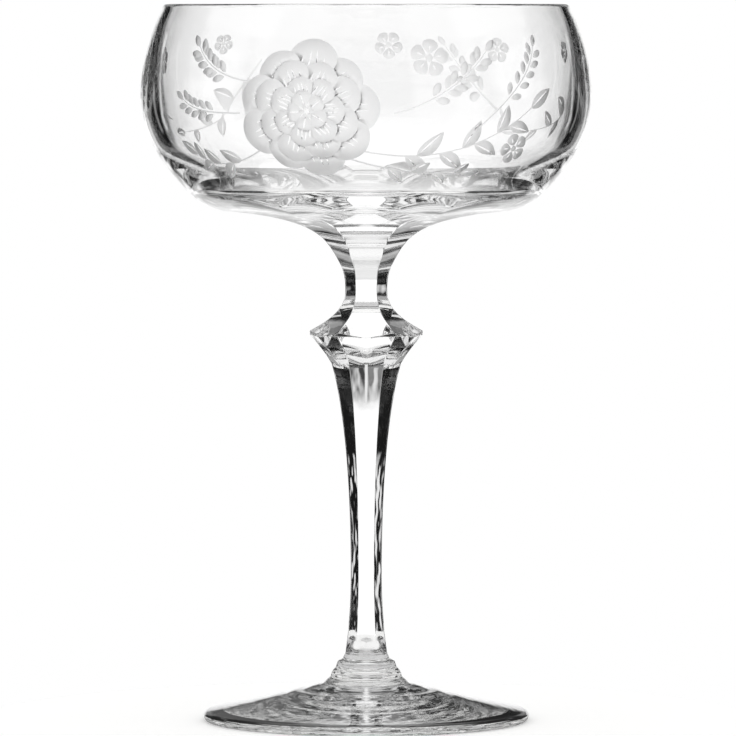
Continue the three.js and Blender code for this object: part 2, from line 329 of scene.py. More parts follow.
def foot_outline(sizes):
    """Half section of the foot, from the axis underneath round to the axis on top, with its ridges."""
    ring_outer = sizes.foot_radius / MM - FOOT_EDGE
    ring_inner = ring_outer - FOOT_RING
    shaft_edge = (FOOT_TOP_RADIUS, FOOT_TOP)
    turn = np.linspace(-math.pi / 2, math.pi / 2, 13)
    rounded = np.stack([ring_outer + FOOT_EDGE * np.cos(turn), FOOT_EDGE + FOOT_EDGE * np.sin(turn)], 1)
    top = Line(joined(
        bend((ring_outer, 2 * FOOT_EDGE), COLLAR_FOOT, "foot top", 60),
        bend(COLLAR_FOOT, COLLAR_BEND, "collar sweep", 40),
        np.linspace(COLLAR_BEND, COLLAR_SHOULDER, 3),
        bend(COLLAR_SHOULDER, shaft_edge, "collar neck", 40),
    ))
    smooth = top.length - RIDGED_LENGTH
    along = np.concatenate([np.linspace(0, smooth, 50), np.linspace(smooth, top.length, 91)[1:]])
    reach, height, out, up = top.read(along)
    from_neck = top.length - along
    ridges = RIDGE_HEIGHT * np.sin(2 * math.pi * from_neck / RIDGE_SPACING)
    ridges = ridges * ease(from_neck, 0.2, 2) * (1 - ease(from_neck, 9, 12))
    rings = RING_HEIGHT * np.sin(2 * math.pi * from_neck / RING_SPACING)
    rings = rings * ease(from_neck, 9, 12) * (1 - ease(from_neck, 17, 22))
    lift = ridges + rings
    return joined(
        bend((0, FOOT_HOLLOW), (ring_inner, 0), "foot hollow", 14),
        np.array([(ring_inner, 0), (ring_outer - FOOT_RING / 2, 0), (ring_outer, 0)]),
        rounded,
        np.stack([reach + out * lift, height + up * lift], 1),
        np.array([(radius, FOOT_TOP) for radius in (FOOT_TOP_RADIUS, 4.7, 2.4, 0)]),
    )


def lathe_tree(columns):
    """Geometry Nodes that turn an outline, a line of points in the XZ plane, about the Z axis."""
    tree = bpy.data.node_groups.new("turned_on_the_axis", "GeometryNodeTree")
    sockets = [("Outline", "Geometry", None), ("Columns", "Int", columns), ("Rows", "Int", 2),
               ("Joint height", "Float", 0.0), ("Glass", "Material", None), ("Joint", "Material", None)]
    for name, kind, value in sockets:
        socket = tree.interface.new_socket(name, in_out="INPUT", socket_type="NodeSocket" + kind)
        if value is not None:
            socket.default_value = value
    tree.interface.new_socket("Turned", in_out="OUTPUT", socket_type="NodeSocketGeometry")
    start = tree.nodes.new("NodeGroupInput").outputs
    across = add_node(tree, "ShaderNodeMath", {"operation": "ADD"}, {1: 1.0}, {0: start["Columns"]})
    grid = add_node(tree, "GeometryNodeMeshGrid", links={
        "Vertices X": start["Rows"], "Vertices Y": across})
    index = add_node(tree, "GeometryNodeInputIndex")
    share = add_node(tree, "ShaderNodeMath", {"operation": "DIVIDE"}, links={0: index, 1: across})
    row = add_node(tree, "ShaderNodeMath", {"operation": "FLOOR"}, links={0: share})
    column = add_node(tree, "ShaderNodeMath", {"operation": "MODULO"}, links={0: index, 1: across})
    turn = add_node(tree, "ShaderNodeMath", {"operation": "DIVIDE"}, links={
        0: column, 1: start["Columns"]})
    # Turning backwards makes the faces look outward
    angle = add_node(tree, "ShaderNodeMath", {"operation": "MULTIPLY"}, {1: -2 * math.pi}, {0: turn})
    spot = add_node(tree, "GeometryNodeInputPosition")
    sample = add_node(tree, "GeometryNodeSampleIndex", {
        "data_type": "FLOAT_VECTOR", "domain": "POINT"}, links={
        "Geometry": start["Outline"], "Value": spot, "Index": row})
    turned = add_node(tree, "ShaderNodeVectorRotate", {"rotation_type": "Z_AXIS"}, links={
        "Vector": sample.outputs["Value"], "Angle": angle})
    placed = add_node(tree, "GeometryNodeSetPosition", links={
        "Geometry": grid.outputs["Mesh"], "Position": turned})
    closed = add_node(tree, "GeometryNodeMergeByDistance", values={"Distance": 1e-6}, links={
        "Geometry": placed})
    corner = add_node(tree, "GeometryNodeInputMeshEdgeAngle")
    blunt = add_node(tree, "FunctionNodeCompare", {"data_type": "FLOAT", "operation": "LESS_THAN"},
                     {1: math.radians(50)}, {0: corner.outputs["Unsigned Angle"]})
    smooth = add_node(tree, "GeometryNodeSetShadeSmooth", {"domain": "EDGE"}, links={
        "Geometry": closed, "Shade Smooth": blunt})
    glass = add_node(tree, "GeometryNodeSetMaterial", links={
        "Geometry": smooth, "Material": start["Glass"]})
    height = add_node(tree, "ShaderNodeSeparateXYZ", links={0: spot})
    on_top = add_node(tree, "FunctionNodeCompare", {
        "data_type": "FLOAT", "operation": "GREATER_THAN"}, links={
        0: height.outputs["Z"], 1: start["Joint height"]})
    joint = add_node(tree, "GeometryNodeSetMaterial", links={
        "Geometry": glass, "Selection": on_top, "Material": start["Joint"]})
    real = add_node(tree, "GeometryNodeRealizeInstances", links={"Geometry": joint})
    add_node(tree, "NodeGroupOutput", links={"Turned": real})
    return tree


def from_nodes(name, base, tree, inputs):
    """The plain mesh object that a Geometry Nodes tree makes of a base mesh."""
    draft = bpy.data.objects.new(name + "_draft", base)
    bpy.context.scene.collection.objects.link(draft)
    modifier = draft.modifiers.new("shape", "NODES")
    modifier.node_group = tree
    for socket in tree.interface.items_tree:
        if socket.in_out == "INPUT" and socket.name in inputs:
            modifier[socket.identifier] = inputs[socket.name]
    bpy.context.view_layer.update()
    done = draft.evaluated_get(bpy.context.evaluated_depsgraph_get())
    mesh = bpy.data.meshes.new_from_object(done)
    bpy.data.objects.remove(draft)
    piece = bpy.data.objects.new(name, mesh)
    bpy.context.scene.collection.objects.link(piece)
    return piece


class GLASS_OT_foot(bpy.types.Operator):
    """Turns the foot with its collar"""
    bl_idname = "glass.foot"
    bl_label = "Foot"

    def execute(self, context):
        outline = foot_outline(context.scene.glass_sizes)
        base = bpy.data.meshes.new("foot_outline")
        base.from_pydata([(r * MM, 0, z * MM) for r, z in outline], [], [])
        crystal = lead_crystal("blown_lead_crystal_foot", (0.03, (14, 14, 14)), (0.12, 6, 14, 0.05, 15))
        piece = from_nodes("glass_foot", base, lathe_tree(FOOT_COLUMNS), {
            "Rows": len(outline), "Joint height": (FOOT_TOP - 0.001) * MM, "Glass": crystal,
            "Joint": fused_joint()})
        install(piece, "foot")
        return {"FINISHED"}


EASE_ANGLE = math.radians(1.5)


def cut_angles():
    """Angles of a cut section's points: close to each corner and ridge, and between them."""
    steps = [0, EASE_ANGLE, HALF_FACE / 2, HALF_FACE - EASE_ANGLE]
    return np.array([half * HALF_FACE + step for half in range(2 * FACES) for step in steps])


def cut_radius(angles, radius, ridge):
    """Distance from the axis to the six-sided section with ridged faces, at each angle."""
    inside = np.abs((angles + HALF_FACE) % (2 * HALF_FACE) - HALF_FACE)
    middle = radius * (math.cos(HALF_FACE) * (1 - ridge) + ridge)
    # Where the ray at that angle meets the straight line from the corner to the ridge
    return (radius * middle * math.sin(HALF_FACE)
            / (radius * np.sin(inside) + middle * np.sin(HALF_FACE - inside)))


def ring(angles, reach, height):
    """Points round the axis."""
    height = np.broadcast_to(height, np.shape(reach))
    return np.stack([reach * np.cos(angles), reach * np.sin(angles), height], -1)


def lofted(name, blocks, materials):
    """A closed piece through blocks of rows, with a flat joint at each end."""
    count = blocks[0].shape[1]
    points = np.concatenate([block.reshape(-1, 3) for block in blocks])
    normals = np.concatenate([surface_normals(block).reshape(-1, 3) for block in blocks])
    rows = len(points) // count
    faces = strips(rows, count)
    faces.append(tuple(reversed(range(count))))
    faces.append(tuple(range(len(points) - count, len(points))))
    corners = [[normals[place] for place in face] for face in faces[:-2]] + [None, None]
    kinds = [0] * (len(faces) - 2) + [1, 1]
    return new_object(name, points, faces, corners, kinds, materials)


# Length over which the facets run out on the foot, length over which a ridge grows on them under the knop,
# and its share of the way to a round section
RUN_OUT, RIDGE_LENGTH, FACE_RIDGE = 3.5, 24, 0.2


class GLASS_OT_shaft(bpy.types.Operator):
    """Draws the six-sided shaft"""
    bl_idname = "glass.shaft"
    bl_label = "Shaft"

    def execute(self, context):
        waist = (SHAFT_WAIST_RADIUS, SHAFT_WAIST)
        profile = joined(
            bend((FOOT_TOP_RADIUS, FOOT_TOP), waist, "below waist", 90),
            bend(waist, (SHAFT_TOP_RADIUS, SHAFT_TOP), "above waist", 40),
        )
        angles = cut_angles()
        rows = []
        for radius, height in profile:
            run_out = 1 - ease(height, FOOT_TOP, FOOT_TOP + RUN_OUT)
            ridge = max(run_out, FACE_RIDGE * ease(height, SHAFT_TOP - RIDGE_LENGTH, SHAFT_TOP))
            reach = cut_radius(angles, radius, ridge)
            rows.append(ring(angles, reach + (radius - reach) * run_out, height))
        crystal = lead_crystal("cut_lead_crystal_shaft", (0.06, (2.2, 2.2, 5)))
        piece = lofted("glass_shaft", [np.array(rows)], [crystal, fused_joint()])
        install(piece, "shaft")
        return {"FINISHED"}


class GLASS_OT_knop(bpy.types.Operator):
    """Cuts the knop and the neck above it"""
    bl_idname = "glass.knop"
    bl_label = "Knop"

    def execute(self, context):
        radius = context.scene.glass_sizes.knop_radius / MM
        under = bend((SHAFT_TOP_RADIUS, SHAFT_TOP), (radius, GIRDLE_FOOT), "knop under", 60)
        waist = (NECK_WAIST_RADIUS, NECK_WAIST)
        over = joined(
            bend((radius, GIRDLE), waist, "knop over", 60),
            bend(waist, (KNOP_TOP_RADIUS, KNOP_TOP), "neck flare", 40),
        )
        # The upper faces go on downwards past the girdle, so that the lower ones can cut them off
        slope = over[0] - over[1]
        overlap = 5
        skirt = over[0] + slope / np.linalg.norm(slope) * overlap
        over_line = np.concatenate([skirt[None], over])
        angles = cut_angles()

        def lower(heights):
            reach = np.interp(heights, under[:, 1], under[:, 0])
            ridge = FACE_RIDGE + (1 - FACE_RIDGE) * ease(heights, SHAFT_TOP, GIRDLE_FOOT)
            return cut_radius(angles, reach, ridge)

        def upper(heights):
            return cut_radius(angles, np.interp(heights, over_line[:, 1], over_line[:, 0]), 0)

        # Halving finds the height at which the lower and upper faces meet, at each angle
        low, high = np.full(len(angles), SHAFT_TOP + 3), np.full(len(angles), GIRDLE + 0.5)
        for _ in range(40):
            middle = (low + high) / 2
            inside = lower(middle) < upper(middle)
            low, high = np.where(inside, middle, low), np.where(inside, high, middle)
        girdle = (low + high) / 2
        blunt = np.minimum(GIRDLE_FOOT, girdle - 0.25)
        eased = 0.06
        cone = [SHAFT_TOP + (blunt - SHAFT_TOP) * share for share in np.linspace(0, 1, 22)]
        tip = [blunt + (girdle - eased - blunt) * share for share in (0.15, 1)]
        neck = [girdle + eased + (KNOP_TOP - girdle - eased) * share for share in np.linspace(0, 1, 50)]
        blocks = [
            np.array([ring(angles, lower(heights), heights) for heights in cone]),
            np.array([ring(angles, lower(heights), heights) for heights in tip]),
            np.array([ring(angles, upper(heights), heights) for heights in neck]),
        ]
        crystal = lead_crystal("cut_lead_crystal_knop", (0.02, (4, 4, 2.5)))
        piece = lofted("glass_knop", blocks, [crystal, fused_joint()])
        install(piece, "knop")
        return {"FINISHED"}


COLUMNS = 240
# Heights at which the bowl's outer line turns, and its radius there
UNDERSIDE, UNDERSIDE_RADIUS = 117.4, 32.4
WALL_FOOT, WALL_FOOT_RADIUS = 121.0, 40.0
BELLY = 144.6
# The rounded lip: the radius at its middle, its own radius, and how far it leans inwards
LIP_RADIUS, LIP_ROUND, LIP_LEAN = 45.9, 1.0, math.radians(24)
# Thickness of the glass at the wall's foot, over most of the wall, at the rim, and in the floor
THICK_FOOT, THICK_WALL, THICK_RIM, THICK_FLOOR = 4.6, 3.8, 2.0, 6.5
# Depth of the flutes under the bowl, and how far their round ends rise on the wall
FLUTE_DEPTH, FLUTE_ARCH = 1.0, 5.0
# Widths of the plain bands under and over the engraving
BAND_UNDER, BAND_OVER = 3.2, 4.0


def bowl_profile(sizes):
    """Outer line of the bowl: from the fused face to the wall's foot, and from there to the rim."""
    lip = np.array([LIP_RADIUS + LIP_ROUND * math.cos(LIP_LEAN),
                    sizes.height / MM - LIP_ROUND + LIP_ROUND * math.sin(LIP_LEAN)])
    belly = np.array([sizes.bowl_radius / MM, BELLY])
    reach = 0.34 * (lip[1] - BELLY)
    lip_way = np.array([-math.sin(LIP_LEAN), math.cos(LIP_LEAN)])
    underside, wall_foot = (UNDERSIDE_RADIUS, UNDERSIDE), (WALL_FOOT_RADIUS, WALL_FOOT)
    base = joined(
        bend((KNOP_TOP_RADIUS, KNOP_TOP), underside, "underside", 200),
        bend(underside, wall_foot, "shoulder", 60),
    )
    wall = joined(
        bend(wall_foot, belly, "lower wall", 200),
        bezier([belly, belly + (0, reach), lip - reach * lip_way, lip], 200),
    )
    return base, wall


class Cut:
    """One cut of the wheel: outline, depth, how far from its edge it is deep, and the cut it is in."""

    def __init__(self, outline, depth, spread, under=None):
        self.outline, self.depth, self.spread, self.under = outline, depth, spread, under

    def inset(self, points):
        """How far inside the outline each point lies, negative outside."""
        start, end = self.outline, np.roll(self.outline, -1, 0)
        way = end - start
        away = points[:, None] - start
        share = np.clip((away * way).sum(2) / (way * way).sum(1), 0, 1)
        gap = np.linalg.norm(away - share[..., None] * way, axis=2).min(1)
        spans = (start[:, 1] > points[:, None, 1]) != (end[:, 1] > points[:, None, 1])
        rise = np.where(way[:, 1] == 0, 1, way[:, 1])
        left = points[:, None, 0] < start[:, 0] + away[..., 1] / rise * way[:, 0]
        return np.where((spans & left).sum(1) % 2, gap, -gap)

    def depth_at(self, points):
        """Depth of the cut's round bottom, with that of the cut it was made in."""
        share = np.clip(self.inset(points) / self.spread, 0, 1)
        base, tip = self.outline[0], self.outline[len(self.outline) // 2]
        along = np.clip((points - base) @ (tip - base) / ((tip - base) @ (tip - base)), 0, 1)
        bottom = self.depth * (0.4 + 0.6 * along) * (1 - (1 - share) ** 2)
        return bottom + self.under.depth_at(points) if self.under else bottom


def blade(base, tip, width, widest, blunt=0.7, bow=0.0):
    """Outline of a petal, leaf or grain, from base to tip, widest at a share of the way, bowed sideways."""
    base, tip = np.array(base, float), np.array(tip, float)
    way = tip - base
    length = np.hypot(*way)
    side = np.array([-way[1], way[0]]) / length
    count = max(7, round(length / 0.7))
    share = (1 - np.cos(math.pi * np.linspace(0, 1, count + 1))) / 2
    half = width / 2 * np.sin(math.pi * share ** (math.log(0.5) / math.log(widest))) ** blunt
    middle = base + way * share[:, None] + side * (bow * length * 4 * share * (1 - share))[:, None]
    half = np.clip(half, 0, None)[:, None] * side
    return np.concatenate([middle + half, (middle - half)[-2:0:-1]])


def petal(cuts, base, tip, width, widest, blunt=0.55, depth=0.42, veins=(), bow=0.0):
    """A scooped petal or leaf with fine strokes of the wheel along it."""
    base, tip = np.array(base, float), np.array(tip, float)
    way = tip - base
    side = np.array([-way[1], way[0]]) / np.hypot(*way)
    scoop = Cut(blade(base, tip, width, widest, blunt, bow), depth, 0.42 * width)
    cuts.append(scoop)
    for place, start, end in veins:
        ends = [base + way * share + side * (place * width * math.sin(math.pi * share))
                for share in (start, end)]
        cuts.append(Cut(blade(*ends, 0.36, 0.55), 0.2, 0.18, scoop))


def stalk(cuts, handles, width):
    """A thin stalk along a Bezier line."""
    line = bezier(handles, 16)
    way = np.gradient(line, axis=0)
    side = np.stack([-way[:, 1], way[:, 0]], 1) / np.linalg.norm(way, axis=1, keepdims=True) * width / 2
    taper = np.linspace(1, 0.5, len(line))[:, None]
    cuts.append(Cut(np.concatenate([line + side * taper, (line - side * taper)[::-1]]), 0.16, width / 2))
    return line, way / np.linalg.norm(way, axis=1, keepdims=True)


def turned(way, degrees):
    """A direction on the wall, turned to the left."""
    angle = math.radians(degrees)
    return np.array([way[0] * math.cos(angle) - way[1] * math.sin(angle),
                     way[0] * math.sin(angle) + way[1] * math.cos(angle)])


MIDRIB = [(0, 0.1, 0.9)]
STROKES = [(-0.27, 0.3, 0.68), (-0.1, 0.36, 0.8), (0.1, 0.36, 0.8), (0.27, 0.3, 0.68)]


def spray(cuts, handles, places, length, width, lean):
    """A stalk with leaves on both sides by turns, and one at its tip."""
    line, ways = stalk(cuts, handles, 0.45)
    for number, place in enumerate(places):
        step = round(place * 16)
        side = 1 if number % 2 else -1
        reach = length * (1 - 0.35 * place)
        tip = line[step] + turned(ways[step], side * lean) * reach
        petal(cuts, line[step], tip, width * (1 - 0.25 * place), 0.42, 0.85, 0.34, MIDRIB, side * -0.06)
    petal(cuts, line[-1], line[-1] + ways[-1] * length * 0.8, width * 0.8, 0.45, 0.85, 0.34, MIDRIB)


def ear(cuts, handles, pairs, length):
    """A grassy ear: pairs of plump grains up a stalk."""
    line, ways = stalk(cuts, handles, 0.4)
    for pair in range(pairs):
        step = round(6 + 10 * pair / pairs)
        for side in (-1, 1):
            foot = line[step] + turned(ways[step], side * 90) * 0.5
            petal(cuts, foot, foot + turned(ways[step], side * 34) * length, length * 0.52, 0.55, 0.6, 0.32)
    petal(cuts, line[-1], line[-1] + ways[-1] * length, length * 0.5, 0.5, 0.6, 0.32)


def floret(cuts, centre, radius, turn):
    """A small open flower of five petals."""
    centre = np.array(centre, float)
    for number in range(5):
        way = turned((1, 0), 72 * number + turn)
        petal(cuts, centre + way * radius * 0.2, centre + way * radius, radius * 0.86, 0.62, 0.6, 0.34,
              [(0, 0.2, 0.6)])
    petal(cuts, centre - (0, radius * 0.2), centre + (0, radius * 0.2), radius * 0.4, 0.5, 0.5, 0.2)


# Whorls of the large flower: how many petals, where they start and end and their width as shares of its
# radius, and the first one's turn
WHORLS = [
    (9, 0.22, 1.0, 0.66, 4),
    (8, 0.16, 0.76, 0.52, 24),
    (7, 0.1, 0.52, 0.38, 2),
    (5, 0.04, 0.29, 0.27, 40),
]
BLOSSOM_CENTRE, BLOSSOM_RADIUS = (-13.0, 20.5), 15.8


def engraving(blossom):
    """The drawing on one third of the wall, in millimetres to the right of its middle and up from below."""
    cuts = []
    if not blossom:
        spray(cuts, [(-26, 26), (-20, 18), (-8, 12), (8, 12)], [0.2, 0.35, 0.5, 0.65, 0.8], 8, 3.6, 44)
        ear(cuts, [(14, 16), (22, 17), (29, 22), (33, 30)], 6, 3.2)
        floret(cuts, (18, 29), 3.8, 20)
        floret(cuts, (-14, 31), 3.2, 50)
        return cuts
    spray(cuts, [(-4, 12), (10, 8), (24, 9), (40, 21)], [0.3, 0.4, 0.5, 0.6, 0.7, 0.8, 0.9], 9.5, 3.9, 44)
    spray(cuts, [(-6, 10), (4, 6), (14, 4.6), (24, 5.2)], [0.4, 0.58, 0.76, 0.92], 6.5, 3.2, 36)
    spray(cuts, [(-24, 12), (-32, 7), (-40, 6), (-45, 10)], [0.3, 0.45, 0.6, 0.75, 0.9], 7, 3.5, 42)
    ear(cuts, [(6, 20), (14, 22), (22, 27), (28, 34)], 6, 3.4)
    ear(cuts, [(-26, 27), (-33, 28), (-38, 30), (-42, 35)], 6, 3.4)
    ear(cuts, [(-29, 20), (-36, 20), (-42, 20), (-46, 23)], 5, 3.0)
    ear(cuts, [(24, 15), (34, 24), (40, 29), (42, 35)], 5, 3.0)
    floret(cuts, (14, 32.5), 4.4, 10)
    floret(cuts, (37, 11.5), 3.8, 40)
    floret(cuts, (5, 35.5), 3.2, 55)
    centre = np.array(BLOSSOM_CENTRE)
    for count, inner, outer, width, turn in WHORLS:
        for number in range(count):
            way = turned((1, 0), 360 * number / count + turn)
            reach = BLOSSOM_RADIUS * (1 + 0.05 * math.sin(2.4 * number + count))
            ends = centre + way * inner * reach, centre + way * outer * reach
            petal(cuts, *ends, width * reach, 0.66, 0.55, 0.25 + 0.4 * outer,
                  STROKES if outer > 0.5 else MIDRIB)
    for number in range(6):
        way = turned((1, 0), 60 * number)
        petal(cuts, centre + way * 0.5, centre + way * 1.7, 0.9, 0.5, 0.5, 0.2)
    return cuts


def engraved_sheet(cuts, across, up):
    """One third of the wall laid flat: points, triangles, the cut that each is in, and the points' depth."""
    wide, tall = across[-1], up[-1]
    grid = np.stack(np.meshgrid(across, up), -1)
    border = np.concatenate([grid[0, :-1], grid[:-1, -1], grid[-1, :0:-1], grid[:0:-1, 0]])
    fine = np.stack(np.meshgrid(np.arange(-wide, wide, 0.8), np.arange(0.4, tall, 0.7)), -1)
    fine[::2, :, 0] += 0.4
    loose, fine = grid[1:-1, 1:-1].reshape(-1, 2), fine.reshape(-1, 2)
    inside = np.zeros(len(fine), bool)
    for cut in cuts:
        low, high = cut.outline.min(0) - 1, cut.outline.max(0) + 1
        clear = ~((loose > low) & (loose < high)).all(1)
        clear[~clear] = cut.inset(loose[~clear]) < -0.5
        loose = loose[clear]
        near = ((fine > low) & (fine < high)).all(1)
        inset = cut.inset(fine[near])
        inside[near] |= inset > 0
        keep = np.ones(len(fine), bool)
        keep[near] = np.abs(inset) > 0.28
        fine, inside = fine[keep], inside[keep]
    places = np.concatenate([border, loose, fine[inside], *(cut.outline for cut in cuts)])
    if (np.abs(places) > (wide, tall)).any() or places[:, 1].min() < 0:
        raise ValueError("the drawing runs off its part of the wall")
    first = len(border) + len(loose) + int(inside.sum())
    outlines = []
    for cut in cuts:
        outlines.append(list(reversed(range(first, first + len(cut.outline)))))
        first += len(cut.outline)
    rim = [(step, (step + 1) % len(border)) for step in range(len(border))]
    found, _, triangles, origins, _, holders = delaunay_2d_cdt(
        [Vector(place) for place in places], rim, outlines, 0, 1e-4)
    points = np.array([places[origin[0]] if origin else spot[:] for spot, origin in zip(found, origins)])
    triangles = np.array(triangles)
    labels = np.array([max(holder) if holder else -1 for holder in holders])
    depth = np.full(len(points), np.inf)
    depth[np.unique(triangles[labels < 0])] = 0
    for label, cut in enumerate(cuts):
        used = np.unique(triangles[labels == label])
        if len(used):
            depth[used] = np.minimum(depth[used], cut.depth_at(points[used]))
    return points, triangles, labels, depth


def cut_normals(points, triangles, labels):
    """Normals at the corners of cut triangles, smooth within each cut."""
    first, second, third = (points[triangles[:, corner]] for corner in range(3))
    flat = np.cross(second - first, third - first)
    keys, place = np.unique(triangles + len(points) * labels[:, None], return_inverse=True)
    place = place.reshape(triangles.shape)
    smooth = np.zeros((len(keys), 3))
    for corner in range(3):
        np.add.at(smooth, place[:, corner], flat)
    smooth /= np.maximum(np.linalg.norm(smooth, axis=1, keepdims=True), 1e-12)
    return smooth[place]


def engraved_crystal():
    """Crystal that the engraving wheel has ground matt: fine grit scatters the light to a silvery white."""
    material, tree = new_material("wheel_engraved_crystal")
    place = add_node(tree, "ShaderNodeTexCoord")
    grit = add_node(tree, "ShaderNodeTexNoise", values={"Scale": 1 / (0.25 * MM), "Detail": 2.0},
                    links={"Vector": place.outputs["Object"]})
    bump = add_node(tree, "ShaderNodeBump", values={"Strength": 0.6, "Distance": 0.03 * MM},
                    links={"Height": grit.outputs["Fac"]})
    show_crystal(tree, 0.5, bump)
    return material


THIRDS = 3
DRAWN_RADIUS = 50.0


class GLASS_OT_bowl(bpy.types.Operator):
    """Blows, cuts and engraves the bowl"""
    bl_idname = "glass.bowl"
    bl_label = "Bowl"

    def execute(self, context):
        sizes = context.scene.glass_sizes
        base, wall = bowl_profile(sizes)
        outer = Line(joined(base, wall))
        base_length = Line(base).length
        angles = np.arange(COLUMNS) * 2 * math.pi / COLUMNS
        across = (angles % (2 * HALF_FACE)) / HALF_FACE - 1
        crown = 1 - across ** 2
        arch = base_length + FLUTE_ARCH * (crown - 0.5)
        flat = math.cos(HALF_FACE) / np.cos(across * HALF_FACE)
        drawn_foot, drawn_top = base_length + BAND_UNDER, outer.length - BAND_OVER

        def wall_rows(start, end, shares):
            rows = []
            for share in shares:
                radius, height, _, _ = outer.read(start + (end - start) * share)
                rows.append(ring(angles, np.broadcast_to(radius, COLUMNS), height))
            return rows

        flutes = []
        for share in np.linspace(0, 1, 61):
            roundness = ease(share, 0, 0.4)
            depth = FLUTE_DEPTH * roundness * (1 - share ** 8) * crown
            radius, height, out, up = outer.read(arch * share)
            reach = radius * (flat + (1 - flat) * roundness)
            flutes.append(ring(angles, reach - out * depth, height - up * depth))
        margin = wall_rows(arch, np.full(COLUMNS, drawn_foot), [0.02, 0.25, 0.5, 0.75, 1, 1.25])
        lip = wall_rows(drawn_top, outer.length, [-0.25, 0, 0.25, 0.5, 0.75, 1])
        rim = []
        for turn in np.linspace(0, 1, 13)[1:-1]:
            angle = LIP_LEAN + math.pi * turn
            reach = np.full(COLUMNS, LIP_RADIUS + LIP_ROUND * math.cos(angle))
            rim.append(ring(angles, reach, sizes.height / MM - LIP_ROUND + LIP_ROUND * math.sin(angle)))
        inside = Line(wall)
        inner = []
        for share in np.linspace(1, 0, 50):
            radius, height, out, up = inside.read(inside.length * share)
            thin = THICK_WALL + (THICK_RIM - THICK_WALL) * ease(share, 0.45, 1)
            thick = THICK_FOOT + (thin - THICK_FOOT) * ease(share, 0, 0.3)
            inner.append(ring(angles, np.full(COLUMNS, radius - out * thick), height - up * thick))
        edge = (inner[-1][0][0], inner[-1][0][2])
        middle = UNDERSIDE + THICK_FLOOR
        for radius, height in bend(edge, (0, middle), "floor", 24)[1:-1]:
            inner.append(ring(angles, np.full(COLUMNS, radius), height))
        flutes, margin, inner = np.array(flutes), np.array(margin), np.array(lip + rim + inner)
        lower = np.concatenate([flutes, margin[:-1]])
        normals = np.concatenate([surface_normals(flutes), surface_normals(margin)[:-1],
                                  surface_normals(inner)[1:]]).reshape(-1, 3)
        inner = inner[1:]
        points = np.concatenate([lower, inner]).reshape(-1, 3)
        faces = strips(len(lower), COLUMNS) + strips(len(inner), COLUMNS, lower.shape[0] * COLUMNS)
        pole = len(points)
        points = np.concatenate([points, [(0, 0, middle)]])
        normals = np.concatenate([normals, [(0, 0, 1)]])
        last = pole - COLUMNS
        faces += [(last + step, last + (step + 1) % COLUMNS, pole) for step in range(COLUMNS)]
        corners = [[normals[place] for place in face] for face in faces]
        faces.append(tuple(reversed(range(COLUMNS))))
        corners.append(None)
        kinds = [0] * (len(faces) - 1) + [1]

        part = COLUMNS // THIRDS
        steps = (np.arange(part + 1) - part / 2) * 2 * math.pi / COLUMNS * DRAWN_RADIUS
        for third in range(THIRDS):
            cuts = engraving(third == 0)
            flat_points, triangles, labels, depth = engraved_sheet(
                cuts, steps, np.linspace(0, drawn_top - drawn_foot, 33))
            polished = np.array([cut.under is not None for cut in cuts] + [True])
            radius, height, out, up = outer.read(drawn_foot + flat_points[:, 1])
            turn = flat_points[:, 0] / DRAWN_RADIUS - math.pi / 2 + third * 2 * math.pi / THIRDS
            sheet = ring(turn, radius - out * depth, height - up * depth)
            smooth = ring(turn, out, up)[triangles]
            engraved = labels >= 0
            smooth[engraved] = cut_normals(sheet, triangles[engraved], labels[engraved])
            faces += [tuple(face) for face in triangles + len(points)]
            corners += list(smooth)
            kinds += np.where(polished[labels], 0, 2).tolist()
            points = np.concatenate([points, sheet])
        # Points of neighbouring blocks that fall together become one
        _, kept, index = np.unique(np.rint(points * 1e4).astype(np.int64), axis=0, return_index=True,
                                   return_inverse=True)
        index = index.ravel()
        faces = [tuple(index[list(face)]) for face in faces]
        crystal = lead_crystal("blown_lead_crystal_bowl", (0.02, (12, 12, 12)))
        frosted = engraved_crystal()
        piece = new_object("glass_bowl", points[kept], faces, corners, kinds,
                           [crystal, fused_joint(), frosted])
        install(piece, "bowl")
        return {"FINISHED"}


# Lit panels round the glass, in degrees: to the right of straight behind it, half the width, bottom, top and
# the softness of the edges; then the brightness
PANELS = [
    (0, 17, -40, 7, 2, 1.1),
    (0, 14, -90, 7, 2, 1.15),
    (0, 2.4, 5, 60, 1.5, 0.85),
    (0, 18, 37, 60, 3, 0.45),
    (-7, 4, 8, 28, 4, 0.22),
    (-41, 1.2, -14, 2, 1, 1.0),
    (41, 0.8, -14, 2, 0.8, 0.9),
]
# Panels that stand on the left as well as on the right; the last three light the views from other sides
PAIRED_PANELS = [
    (13, 6, 6, 18, 3, 0.4),
    (23, 4, 26, 36, 2, 0.8),
    (100, 25, 18, 52, 3, 0.35),
    (90, 32, -90, -20, 4, 0.95),
    (45, 12, -32, -20, 3, 0.35),
    (90, 17, -22, 7, 3, 0.9),
    (135, 20, -24, 5, 3, 0.7),
]
PANELS += [(side * turn, *rest) for turn, *rest in PAIRED_PANELS for side in (-1, 1)]
# Softness of the edge under which the front of the room is white, and where the ceiling's light starts
SOFT_EDGE, CEILING_START = math.radians(1.5), math.radians(36)


def seen_in_glass(tree):
    """1 for light that reaches the eye through the glass or thrown back by it, and otherwise 0."""
    path = add_node(tree, "ShaderNodeLightPath")
    return add_node(tree, "ShaderNodeMath", {"operation": "MAXIMUM"}, links={
        0: path.outputs["Is Glossy Ray"], 1: path.outputs["Is Transmission Ray"]})


